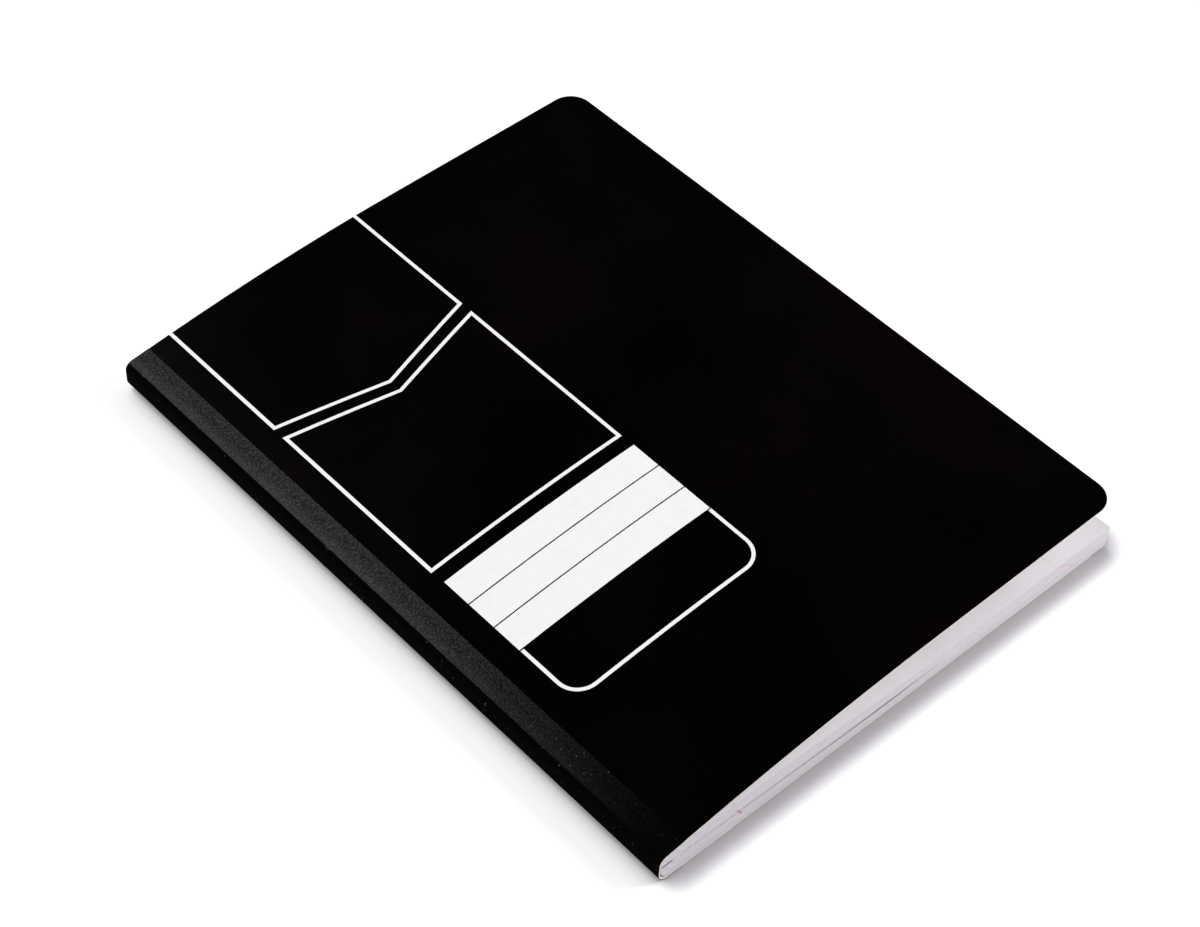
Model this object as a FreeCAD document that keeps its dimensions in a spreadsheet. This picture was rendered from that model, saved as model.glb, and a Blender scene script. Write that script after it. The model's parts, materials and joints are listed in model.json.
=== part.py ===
import FreeCAD
import Part
import math
import os
import Sketcher
from FreeCAD import Vector

# A composition notebook lying on its back cover, with the front cover ajar and arched.
# X runs from the spine to the fore edge, Y from the tail to the head, and Z is up.
# Every body is drawn with X = 0 on the outside of the spine and Y = 0 at the tail;
# its placement then brings the middle of the footprint to the origin.

SIZES = [
    ("trim_width", 190.5, "spine to fore edge, 7.5 inches"),
    ("trim_height", 247.65, "tail to head, 9.75 inches"),
    ("card_thick", 0.5, "cover card"),
    ("corner_radius", 8.0, "rounded fore corners of the covers"),
    ("spine_rise", 11.4, "outside of the front cover above the table, at its crease"),
    ("rise_angle", 8.0, "slope of the front cover beside the spine, degrees"),
    ("fore_angle", 1.3, "slope of the front cover at the fore edge, degrees"),
    ("arch_start", 15.0, "where the front cover starts to level out"),
    ("arch_end", 110.0, "where the front cover stops levelling out"),
    ("crease_front", 3.4, "crease of the front cover, from the outside of the spine"),
    ("crease_back", 4.4, "crease of the back cover, from the outside of the spine"),
    ("crease_gap", 0.15, "opening left in the card at a crease"),
    ("shoulder_radius", 3.0, "upper edge of the spine, outside"),
    ("heel_radius", 4.2, "lower edge of the spine, outside"),
    ("tape_thick", 0.15, "cloth tape"),
    ("tape_reach", 9.3, "edge of the tape, from the outside of the spine"),
    ("tape_play", 0.1, "between the edge of the tape and the rim of its seat"),
    ("glue_film", 0.02, "between the tape and the card"),
    ("fold_gap", 0.2, "between the folded sheets and the card of the spine"),
    ("page_gap", 0.05, "between the last page and the back cover"),
    ("block_heel", 5.0, "lower edge of the folded sheets, radius"),
    ("crown_height", 12.2, "highest line of the first page, above the table"),
    ("crown_place", 40.0, "the same line, from the outside of the spine"),
    ("flat_place", 115.0, "where the first page becomes level"),
    ("fore_height", 9.1, "first page at the fore edge, above the table"),
    ("centre_root", 5.0, "innermost fold, from the outside of the spine"),
    ("centre_level", 7.0, "innermost fold, above the table"),
    ("centre_width", 0.6, "opening at the innermost fold"),
    ("centre_end", 86.0, "where the opening between the two centre pages ends"),
    ("centre_end_level", 4.6, "the same place, above the table"),
    ("centre_end_width", 0.1, "opening left there"),
    ("stitch_margin", 3.825, "plain spine beyond the last stitch, at the head and the tail"),
    ("stitch_pairs", 8, "pairs of stitches, each with one outside and one inside"),
    ("thread_size", 0.28, "diameter of the thread"),
    ("thread_play", 0.02, "room on each side of the thread in its groove"),
    ("needle_hole", 0.4, "diameter of a needle hole"),
    ("ink_gap", 0.02, "between the card and the underside of the ink"),
    ("ink_film", 0.08, "ink of the label"),
    ("label_line", 1.2, "width of the lines of the label's frames"),
    ("label_left", 17.25, "left side of the top and middle frames, from the outside of the spine"),
    ("label_right", 93.75, "right side of the same frames"),
    ("top_side", 193.3, "lower corners of the top frame, from the tail"),
    ("top_point", 182.58, "tip of the top frame"),
    ("middle_side", 188.97, "upper corners of the middle frame"),
    ("middle_point", 178.67, "upper edge of the middle frame, at its lowest"),
    ("middle_low", 117.65, "lower edge of the middle frame"),
    ("strip_left", 17.95, "left end of the white strips, from the outside of the spine"),
    ("strip_right", 94.03, "right end of the white strips"),
    ("strips_high", 112.5, "upper edge of the white strips"),
    ("strips_low", 78.8, "lower edge of the white strips"),
    ("strip_rule", 0.45, "black rule between two strips"),
    ("foot_left", 18.0, "left side of the foot frame, from the outside of the spine"),
    ("foot_right", 94.17, "right side of the foot frame"),
    ("foot_high", 78.3, "upper ends of the foot frame"),
    ("foot_low", 54.32, "lower edge of the foot frame"),
    ("foot_corner", 8.3, "lower corners of the foot frame, radius"),
]

# Places where pieces meet, as expressions of the sizes that every such piece uses.
SKIN = "(dims.tape_thick + dims.glue_film)"
SPINE_INSIDE = "(%s + dims.card_thick)" % SKIN
BLOCK_SIDE = "(%s + dims.fold_gap)" % SPINE_INSIDE
BLOCK_BOTTOM = "(dims.card_thick + dims.page_gap)"
SHOULDER_LEVEL = (
    "(dims.spine_rise + (dims.shoulder_radius - dims.crease_front) * tan(dims.rise_angle)"
    " - dims.shoulder_radius / cos(dims.rise_angle))"
)
SEAT_END = "(dims.tape_reach + dims.tape_play)"
SEAT_END_LEVEL = "(dims.spine_rise + (%s - dims.crease_front) * tan(dims.rise_angle))" % SEAT_END
CROWN_END = "((dims.crown_place + dims.flat_place) / 2)"
CROWN_END_LEVEL = "((dims.crown_height + dims.fore_height) / 2)"
ARCH_RADIUS = "((dims.arch_end - dims.arch_start) / (sin(dims.rise_angle) - sin(dims.fore_angle)))"
ARCH_ACROSS = "(dims.arch_start + %s * sin(dims.rise_angle))" % ARCH_RADIUS
ARCH_LEVEL = (
    "(dims.spine_rise + (dims.arch_start - dims.crease_front) * tan(dims.rise_angle) - %s * cos(dims.rise_angle))"
    % ARCH_RADIUS
)
STITCH_SPAN = "(dims.trim_height - 2 * dims.stitch_margin)"
STITCH_PITCH = "(%s / (2 * dims.stitch_pairs))" % STITCH_SPAN
GROOVE = "(dims.thread_size + 2 * dims.thread_play)"
THREAD_OUTSIDE = "(%s + %s / 2)" % (SKIN, GROOVE)
THREAD_INSIDE = "(dims.centre_root + %s / 2)" % GROOVE

doc = FreeCAD.newDocument("composition_notebook")
sheet = doc.addObject("Spreadsheet::Sheet", "dims")
for row, (alias, value, note) in enumerate(SIZES, 1):
    sheet.set("A%d" % row, note)
    sheet.set("B%d" % row, str(value))
    sheet.setAlias("B%d" % row, alias)
doc.recompute()


def value_of(expression):
    """What an expression of the sizes comes to now."""
    return float(sheet.evalExpression(expression))


def new_body(name):
    """A body whose drawing corner, at the spine and the tail, is set off from the origin."""
    body = doc.addObject("PartDesign::Body", name)
    body.Label = name
    body.setExpression("Placement.Base.x", "-dims.trim_width / 2")
    body.setExpression("Placement.Base.y", "-dims.trim_height / 2")
    return body


def origin_feature(body, role):
    """A plane or an axis of the body's own origin."""
    for feature in body.Origin.OriginFeatures:
        if feature.Role == role:
            return feature
    raise ValueError(role)


def new_sketch(body, name, plane, offset=None):
    """An empty sketch on a plane of the body, moved along the plane's normal by offset."""
    sketch = body.newObject("Sketcher::SketchObject", name)
    sketch.AttachmentSupport = [(origin_feature(body, plane), "")]
    sketch.MapMode = "FlatFace"
    if offset:
        sketch.setExpression("AttachmentOffset.Base.z", offset)
    return sketch


def add_line(sketch, first, last):
    """A line; what comes back is its number and the numbers of its two ends."""
    segment = Part.LineSegment(Vector(first[0], first[1], 0), Vector(last[0], last[1], 0))
    return sketch.addGeometry(segment, False), 1, 2


def add_arc(sketch, centre, first, last, clockwise):
    """An arc about centre from first to last."""
    circle = Part.Circle(Vector(centre[0], centre[1], 0), Vector(0, 0, 1), math.dist(centre, first))
    angles = [math.atan2(end[1] - centre[1], end[0] - centre[0]) for end in (first, last)]
    if clockwise:
        angles.reverse()
    geometry = sketch.addGeometry(Part.ArcOfCircle(circle, angles[0], angles[1]), False)
    return (geometry, 2, 1) if clockwise else (geometry, 1, 2)


def relate(sketch, kind, *what):
    """A constraint without a number."""
    sketch.addConstraint(Sketcher.Constraint(kind, *what))


def join(sketch, chain, smooth, closed=True):
    """Ties each element's end to the next one's start; smooth lists the ends that run on tangent."""
    for index, element in enumerate(chain if closed else chain[:-1]):
        following = chain[(index + 1) % len(chain)]
        kind = "Tangent" if index in smooth else "Coincident"
        relate(sketch, kind, element[0], element[2], following[0], following[1])


def measure(sketch, name, kind, what, expression):
    """A constraint with a number, bound to the sizes."""
    number = value_of(expression)
    if kind == "Angle":
        number = math.radians(number)
    index = sketch.addConstraint(Sketcher.Constraint(kind, *what, number))
    sketch.renameConstraint(index, name)
    sketch.setExpression("Constraints." + name, expression)


def place(sketch, name, element, end, across=None, up=None):
    """Sets one end of an element, or its centre, at distances from the sketch's origin."""
    if across:
        measure(sketch, name + "_across", "DistanceX", (-1, 1, element[0], end), across)
    if up:
        measure(sketch, name + "_up", "DistanceY", (-1, 1, element[0], end), up)


def pad_along_spine(body, sketch, name):
    """Extrudes a section from the tail to the head."""
    pad = body.newObject("PartDesign::Pad", name)
    pad.Profile = sketch
    pad.Reversed = True
    pad.setExpression("Length", "dims.trim_height")
    doc.recompute()
    return pad


def round_fore_corners(body, pad):
    """Rounds the two short edges through the card at the fore edge."""
    width = value_of("dims.trim_width")
    height = value_of("dims.trim_height")
    thick = value_of("dims.card_thick")
    names = []
    for index, edge in enumerate(pad.Shape.Edges, 1):
        middle = edge.CenterOfMass
        at_fore = abs(middle.x - width) < thick
        at_end = min(abs(middle.y), abs(middle.y - height)) < thick / 2
        if at_fore and at_end and abs(edge.Length - thick) < thick / 2:
            names.append("Edge%d" % index)
    fillet = body.newObject("PartDesign::Fillet", body.Name + "_corners")
    fillet.Base = (pad, names)
    fillet.setExpression("Radius", "dims.corner_radius")
    return fillet


def make_front_cover():
    """One panel of card, straight beside the spine, arched, and nearly level at the fore edge.

    The tape lies flush in a seat pressed into its outside.
    """
    body = new_body("front_cover")
    sketch = new_sketch(body, "front_section", "XZ_Plane")
    rise = math.radians(value_of("dims.rise_angle"))
    fore = math.radians(value_of("dims.fore_angle"))
    skin = value_of(SKIN)
    thick = value_of("dims.card_thick")
    crease = value_of("dims.crease_front + dims.crease_gap / 2")

    def on_rise(across, depth):
        """A point under the straight outside, depth below it and square to it."""
        up = value_of("dims.spine_rise") + (across - value_of("dims.crease_front")) * math.tan(rise)
        return across + depth * math.sin(rise), up - depth * math.cos(rise)

    seat_end = value_of(SEAT_END)
    start = on_rise(value_of("dims.arch_start"), 0)
    across = value_of("dims.arch_end") - start[0]
    radius = across / (math.sin(rise) - math.sin(fore))
    centre = (start[0] + radius * math.sin(rise), start[1] - radius * math.cos(rise))
    end = (centre[0] - radius * math.sin(fore), centre[1] + radius * math.cos(fore))
    inner = radius - thick
    inner_end = (centre[0] - inner * math.sin(fore), centre[1] + inner * math.cos(fore))
    inner_start = (centre[0] - inner * math.sin(rise), centre[1] + inner * math.cos(rise))
    tip_across = value_of("dims.trim_width") - thick * math.sin(fore)
    tip = (tip_across, end[1] + (tip_across - end[0]) * math.tan(fore))
    inner_tip = (tip[0] + thick * math.sin(fore), tip[1] - thick * math.cos(fore))

    crease_edge = add_line(sketch, on_rise(crease, thick), on_rise(crease, skin))
    seat = add_line(sketch, on_rise(crease, skin), on_rise(seat_end, skin))
    rim = add_line(sketch, on_rise(seat_end, skin), on_rise(seat_end, 0))
    straight = add_line(sketch, on_rise(seat_end, 0), start)
    arch = add_arc(sketch, centre, start, end, True)
    level = add_line(sketch, end, tip)
    fore_edge = add_line(sketch, tip, inner_tip)
    inner_level = add_line(sketch, inner_tip, inner_end)
    inner_arch = add_arc(sketch, centre, inner_end, inner_start, False)
    inner_straight = add_line(sketch, inner_start, on_rise(crease, thick))
    outside = [crease_edge, seat, rim, straight, arch, level]
    chain = outside + [fore_edge, inner_level, inner_arch, inner_straight]
    join(sketch, chain, (3, 4, 7, 8))
    relate(sketch, "Coincident", arch[0], 3, inner_arch[0], 3)
    relate(sketch, "Parallel", straight[0], seat[0])
    relate(sketch, "Parallel", straight[0], inner_straight[0])
    relate(sketch, "Parallel", level[0], inner_level[0])
    relate(sketch, "Perpendicular", fore_edge[0], level[0])
    relate(sketch, "Perpendicular", rim[0], seat[0])
    relate(sketch, "Perpendicular", crease_edge[0], seat[0])
    measure(sketch, "rise", "Angle", (straight[0],), "dims.rise_angle")
    measure(sketch, "fore", "Angle", (level[0],), "dims.fore_angle")
    measure(sketch, "thickness", "Distance", (fore_edge[0],), "dims.card_thick")
    measure(sketch, "seat_depth", "Distance", (rim[0],), SKIN)
    place(sketch, "rim", straight, 1, SEAT_END, SEAT_END_LEVEL)
    place(sketch, "crease", seat, 1, "dims.crease_front + dims.crease_gap / 2 + %s * sin(dims.rise_angle)" % SKIN)
    place(sketch, "arch_start", arch, arch[1], "dims.arch_start")
    place(sketch, "arch_end", arch, arch[2], "dims.arch_end")
    place(sketch, "tip", fore_edge, 2, "dims.trim_width")
    round_fore_corners(body, pad_along_spine(body, sketch, "front_panel"))
    return body


def make_back_cover():
    """The same card, flat on the table, with a seat for the tape pressed into its underside."""
    body = new_body("back_cover")
    sketch = new_sketch(body, "back_section", "XZ_Plane")
    crease = value_of("dims.crease_back + dims.crease_gap / 2")
    seat_end = value_of(SEAT_END)
    skin = value_of(SKIN)
    width = value_of("dims.trim_width")
    thick = value_of("dims.card_thick")
    seat = add_line(sketch, (crease, skin), (seat_end, skin))
    rim = add_line(sketch, (seat_end, skin), (seat_end, 0))
    outside = add_line(sketch, (seat_end, 0), (width, 0))
    fore_edge = add_line(sketch, (width, 0), (width, thick))
    inside = add_line(sketch, (width, thick), (crease, thick))
    crease_edge = add_line(sketch, (crease, thick), (crease, skin))
    join(sketch, [seat, rim, outside, fore_edge, inside, crease_edge], ())
    for element in (seat, outside, inside):
        relate(sketch, "Horizontal", element[0])
    for element in (rim, fore_edge, crease_edge):
        relate(sketch, "Vertical", element[0])
    relate(sketch, "PointOnObject", outside[0], 1, -1)
    place(sketch, "crease", seat, 1, "dims.crease_back + dims.crease_gap / 2", SKIN)
    place(sketch, "rim", outside, 1, SEAT_END)
    place(sketch, "tip", fore_edge, 2, "dims.trim_width", "dims.card_thick")
    round_fore_corners(body, pad_along_spine(body, sketch, "back_panel"))
    return body


def wrap_round_spine(body, outer, inner, bottom_end, top_end):
    """A strip that runs round the spine, between two depths below the outside of the tape.

    Both ends are set square to the strip, at distances from the outside of the spine.
    """
    sketch = new_sketch(body, body.Name + "_section", "XZ_Plane")
    rise = math.radians(value_of("dims.rise_angle"))
    heel = value_of("dims.heel_radius")
    shoulder = (value_of("dims.shoulder_radius"), value_of(SHOULDER_LEVEL))
    bottom = value_of(bottom_end)
    top = value_of(top_end)
    depths = (value_of(outer), value_of(inner))

    def shoulder_point(depth):
        """Where the upper edge meets the slope of the front cover."""
        radius = shoulder[0] - depth
        return shoulder[0] - radius * math.sin(rise), shoulder[1] + radius * math.cos(rise)

    start = shoulder_point(depths[0])
    top_outer = (top, start[1] + (top - start[0]) * math.tan(rise))
    strip = depths[1] - depths[0]
    top_inner = (top_outer[0] + strip * math.sin(rise), top_outer[1] - strip * math.cos(rise))

    def side(depth, top_point):
        """The five elements of one face of the strip, from the bottom end to the top end."""
        return [
            add_line(sketch, (bottom, depth), (heel, depth)),
            add_arc(sketch, (heel, heel), (heel, depth), (depth, heel), True),
            add_line(sketch, (depth, heel), (depth, shoulder[1])),
            add_arc(sketch, shoulder, (depth, shoulder[1]), shoulder_point(depth), True),
            add_line(sketch, shoulder_point(depth), top_point),
        ]

    outside = side(depths[0], top_outer)
    inside = side(depths[1], top_inner)
    bottom_cap = add_line(sketch, (bottom, depths[1]), (bottom, depths[0]))
    top_cap = add_line(sketch, top_outer, top_inner)
    for face, depth, word in ((outside, outer, "outer"), (inside, inner, "inner")):
        join(sketch, face, (0, 1, 2, 3), closed=False)
        relate(sketch, "Horizontal", face[0][0])
        relate(sketch, "Vertical", face[2][0])
        place(sketch, word + "_side", face[2], 1, depth)
        measure(sketch, word + "_rise", "Angle", (face[4][0],), "dims.rise_angle")
    relate(sketch, "Coincident", bottom_cap[0], 1, inside[0][0], 1)
    relate(sketch, "Coincident", bottom_cap[0], 2, outside[0][0], 1)
    relate(sketch, "Coincident", top_cap[0], 1, outside[4][0], 2)
    relate(sketch, "Coincident", top_cap[0], 2, inside[4][0], 2)
    relate(sketch, "Coincident", outside[1][0], 3, inside[1][0], 3)
    relate(sketch, "Coincident", outside[3][0], 3, inside[3][0], 3)
    relate(sketch, "Vertical", bottom_cap[0])
    relate(sketch, "Perpendicular", top_cap[0], outside[4][0])
    place(sketch, "heel", outside[1], 3, "dims.heel_radius", "dims.heel_radius")
    place(sketch, "shoulder", outside[3], 3, "dims.shoulder_radius", SHOULDER_LEVEL)
    place(sketch, "bottom_end", outside[0], 1, bottom_end)
    place(sketch, "top_end", top_cap, 1, top_end)
    return pad_along_spine(body, sketch, body.Name + "_strip")


def pocket(body, sketch, name, length, along_normal=False):
    """Cuts a sketch away, against its plane's normal or along it."""
    uncut = body.Tip.Shape.Volume
    cut = body.newObject("PartDesign::Pocket", name)
    cut.Profile = sketch
    cut.Reversed = along_normal
    cut.setExpression("Length", length)
    doc.recompute()
    if cut.Shape.Volume >= uncut:
        raise RuntimeError("%s cuts nothing" % name)
    return cut


def pierce_needle_holes(body, depth):
    """A row of needle holes through the fold, from the spine side to a depth."""
    sketch = new_sketch(body, body.Name + "_hole", "YZ_Plane")
    first = "dims.stitch_margin + %s / 2" % STITCH_PITCH
    circle = Part.Circle(
        Vector(value_of(first), value_of("dims.centre_level"), 0), Vector(0, 0, 1), value_of("dims.needle_hole / 2")
    )
    hole = (sketch.addGeometry(circle, False),)
    measure(sketch, "bore", "Diameter", hole, "dims.needle_hole")
    place(sketch, "bore", hole, 3, first, "dims.centre_level")
    cut = pocket(body, sketch, body.Name + "_needle_hole", depth, along_normal=True)
    row = body.newObject("PartDesign::LinearPattern", body.Name + "_needle_holes")
    row.Originals = [cut]
    row.Direction = (origin_feature(body, "Y_Axis"), [""])
    row.setExpression("Occurrences", "2 * dims.stitch_pairs")
    row.setExpression("Length", "%s - %s" % (STITCH_SPAN, STITCH_PITCH))
    body.Tip = row
    doc.recompute()


def make_cover_spine():
    """The part of the card that runs round the spine, grooved and pierced for the thread."""
    body = new_body("cover_spine")
    wrap_round_spine(
        body,
        SKIN,
        SPINE_INSIDE,
        "dims.crease_back - dims.crease_gap / 2",
        "dims.crease_front - dims.crease_gap / 2",
    )
    sketch = new_sketch(body, "thread_groove", "XZ_Plane", "-dims.stitch_margin")
    depth = value_of("%s + %s" % (SKIN, GROOVE))
    low = value_of("dims.centre_level - %s / 2" % GROOVE)
    high = value_of("dims.centre_level + %s / 2" % GROOVE)
    floor = add_line(sketch, (0, low), (depth, low))
    wall = add_line(sketch, (depth, low), (depth, high))
    roof = add_line(sketch, (depth, high), (0, high))
    mouth = add_line(sketch, (0, high), (0, low))
    join(sketch, [floor, wall, roof, mouth], ())
    for element in (floor, roof):
        relate(sketch, "Horizontal", element[0])
    relate(sketch, "Vertical", wall[0])
    relate(sketch, "PointOnObject", mouth[0], 1, -2)
    relate(sketch, "PointOnObject", mouth[0], 2, -2)
    place(sketch, "groove_low", floor, 2, "%s + %s" % (SKIN, GROOVE), "dims.centre_level - %s / 2" % GROOVE)
    place(sketch, "groove_high", roof, 1, None, "dims.centre_level + %s / 2" % GROOVE)
    pocket(body, sketch, "thread_run", STITCH_SPAN)
    pierce_needle_holes(body, "dims.shoulder_radius")
    return body


def make_spine_tape():
    """Cloth tape glued round the spine and into the seats of both covers."""
    body = new_body("spine_tape")
    wrap_round_spine(body, "0 * dims.tape_thick", "dims.tape_thick", "dims.tape_reach", "dims.tape_reach")
    return body


def make_label_layer():
    """A thin layer over the whole outside of the front cover; the label's ink is cut from it."""
    body = new_body("label_layer")
    sketch = new_sketch(body, "layer_section", "XZ_Plane")
    centre = (value_of(ARCH_ACROSS), value_of(ARCH_LEVEL))
    turns = [math.radians(value_of(angle)) for angle in ("dims.rise_angle", "dims.fore_angle")]
    ends = (value_of(SEAT_END), value_of("dims.trim_width"))

    def side(radius):
        """The straight, arched and level parts at one distance from the arch's centre."""
        bend = [(centre[0] - radius * math.sin(turn), centre[1] + radius * math.cos(turn)) for turn in turns]
        start = (ends[0], bend[0][1] - (bend[0][0] - ends[0]) * math.tan(turns[0]))
        finish = (ends[1], bend[1][1] + (ends[1] - bend[1][0]) * math.tan(turns[1]))
        arch = add_arc(sketch, centre, bend[0], bend[1], True)
        return [add_line(sketch, start, bend[0]), arch, add_line(sketch, bend[1], finish)], start, finish

    inner, inner_start, inner_finish = side(value_of("%s + dims.ink_gap" % ARCH_RADIUS))
    outer, outer_start, outer_finish = side(value_of("%s + dims.ink_gap + dims.ink_film" % ARCH_RADIUS))
    caps = [add_line(sketch, inner_start, outer_start), add_line(sketch, inner_finish, outer_finish)]
    for face, depth, word in ((inner, "dims.ink_gap", "inner"), (outer, "dims.ink_gap + dims.ink_film", "outer")):
        join(sketch, face, (0, 1), closed=False)
        measure(sketch, word + "_radius", "Radius", (face[1][0],), "%s + %s" % (ARCH_RADIUS, depth))
        measure(sketch, word + "_rise", "Angle", (face[0][0],), "dims.rise_angle")
        measure(sketch, word + "_fore", "Angle", (face[2][0],), "dims.fore_angle")
        place(sketch, word + "_start", face[0], 1, SEAT_END)
        place(sketch, word + "_finish", face[2], 2, "dims.trim_width")
    relate(sketch, "Coincident", inner[1][0], 3, outer[1][0], 3)
    place(sketch, "arch", inner[1], 3, ARCH_ACROSS, ARCH_LEVEL)
    relate(sketch, "Coincident", caps[0][0], 1, inner[0][0], 1)
    relate(sketch, "Coincident", caps[0][0], 2, outer[0][0], 1)
    relate(sketch, "Coincident", caps[1][0], 1, inner[2][0], 2)
    relate(sketch, "Coincident", caps[1][0], 2, outer[2][0], 2)
    pad_along_spine(body, sketch, "layer")
    return body


def draw_outline(sketch, name, corners):
    """A closed outline of straight lines through corners given as pairs of expressions."""
    spots = [(value_of(across), value_of(up)) for across, up in corners]
    lines = [add_line(sketch, here, there) for here, there in zip(spots, spots[1:] + spots[:1])]
    join(sketch, lines, ())
    for index, (line, (across, up)) in enumerate(zip(lines, corners)):
        place(sketch, "%s_%d" % (name, index), line, 1, across, up)


def pointed_side(side, point, inward):
    """The corners of a frame's pointed side, at its outline and at the inside of its line.

    inward is the sign of the way from the outline to the inside of the line.
    """
    slope = "((%s - %s) * 2 / (dims.label_right - dims.label_left))" % (side, point)
    rise = "dims.label_line * sqrt(1 + %s ^ 2)" % slope
    middle = "(dims.label_left + dims.label_right) / 2"
    side_inside = "%s - %s * dims.label_line %s %s" % (side, slope, inward, rise)
    outline = [("dims.label_left", side), (middle, point), ("dims.label_right", side)]
    inside = [
        ("dims.label_left + dims.label_line", side_inside),
        (middle, "%s %s %s" % (point, inward, rise)),
        ("dims.label_right - dims.label_line", side_inside),
    ]
    return outline, inside


def draw_top_frame(sketch):
    """A line with a pointed foot, that runs off the head of the cover."""
    outline, inside = pointed_side("dims.top_side", "dims.top_point", "+")
    head = "dims.trim_height"
    ends = [("dims.label_right", head), ("dims.label_right - dims.label_line", head)]
    last = [("dims.label_left + dims.label_line", head), ("dims.label_left", head)]
    draw_outline(sketch, "top", outline + ends + inside[::-1] + last)


def draw_middle_frame(sketch):
    """A closed line whose upper side follows the point of the top frame."""
    outline, inside = pointed_side("dims.middle_side", "dims.middle_point", "-")
    low = "dims.middle_low"
    low_inside = "dims.middle_low + dims.label_line"
    draw_outline(sketch, "outline", outline + [("dims.label_right", low), ("dims.label_left", low)])
    corners = [("dims.label_right - dims.label_line", low_inside), ("dims.label_left + dims.label_line", low_inside)]
    draw_outline(sketch, "inside", inside + corners)


def draw_foot_frame(sketch):
    """A line with two rounded corners, open towards the strips."""
    left, right, high, low = [value_of("dims.foot_" + word) for word in ("left", "right", "high", "low")]
    radius = value_of("dims.foot_corner")
    line = value_of("dims.label_line")
    inner = radius - line
    first = (left + radius, low + radius)
    second = (right - radius, low + radius)
    left_outside = add_line(sketch, (left, high), (left, first[1]))
    first_outside = add_arc(sketch, first, (left, first[1]), (first[0], low), False)
    low_outside = add_line(sketch, (first[0], low), (second[0], low))
    second_outside = add_arc(sketch, second, (second[0], low), (right, second[1]), False)
    right_outside = add_line(sketch, (right, second[1]), (right, high))
    right_end = add_line(sketch, (right, high), (right - line, high))
    right_inside = add_line(sketch, (right - line, high), (right - line, second[1]))
    second_inside = add_arc(sketch, second, (right - line, second[1]), (second[0], second[1] - inner), True)
    low_inside = add_line(sketch, (second[0], low + line), (first[0], low + line))
    first_inside = add_arc(sketch, first, (first[0], low + line), (left + line, first[1]), True)
    left_inside = add_line(sketch, (left + line, first[1]), (left + line, high))
    left_end = add_line(sketch, (left + line, high), (left, high))
    outside = [left_outside, first_outside, low_outside, second_outside, right_outside]
    inside = [right_inside, second_inside, low_inside, first_inside, left_inside]
    join(sketch, outside + [right_end] + inside + [left_end], (0, 1, 2, 3, 6, 7, 8, 9))
    for element in (left_outside, right_outside, left_inside, right_inside):
        relate(sketch, "Vertical", element[0])
    for element in (low_outside, low_inside, left_end, right_end):
        relate(sketch, "Horizontal", element[0])
    relate(sketch, "Coincident", first_outside[0], 3, first_inside[0], 3)
    relate(sketch, "Coincident", second_outside[0], 3, second_inside[0], 3)
    level = "dims.foot_low + dims.foot_corner"
    place(sketch, "first_corner", first_outside, 3, "dims.foot_left + dims.foot_corner", level)
    place(sketch, "second_corner", second_outside, 3, "dims.foot_right - dims.foot_corner", level)
    measure(sketch, "first_radius", "Radius", (first_outside[0],), "dims.foot_corner")
    measure(sketch, "inside_radius", "Radius", (first_inside[0],), "dims.foot_corner - dims.label_line")
    place(sketch, "left_end", left_end, 2, None, "dims.foot_high")
    place(sketch, "right_end", right_end, 1, None, "dims.foot_high")


def draw_strip(sketch, number):
    """One of the three white strips, counted from the lowest."""
    share = "((dims.strips_high - dims.strips_low - 2 * dims.strip_rule) / 3)"
    low = "dims.strips_low + %d * (%s + dims.strip_rule)" % (number, share)
    high = "%s + %s" % (low, share)
    corners = [(across, up) for up in (low, high) for across in ("dims.strip_left", "dims.strip_right")]
    draw_outline(sketch, "strip", [corners[0], corners[1], corners[3], corners[2]])


def make_ink(name, draw, layer, *which):
    """A printed shape: its outline, raised through the layer over the cover, and what the two share."""
    body = new_body(name + "_outline")
    sketch = new_sketch(body, name + "_shape", "XY_Plane")
    draw(sketch, *which)
    pad = body.newObject("PartDesign::Pad", name + "_prism")
    pad.Profile = sketch
    pad.setExpression("Length", "dims.spine_rise + dims.trim_width * tan(dims.rise_angle)")
    doc.recompute()
    ink = doc.addObject("Part::MultiCommon", name)
    ink.Label = name
    ink.Shapes = [body, layer]
    doc.recompute()
    return ink


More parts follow.
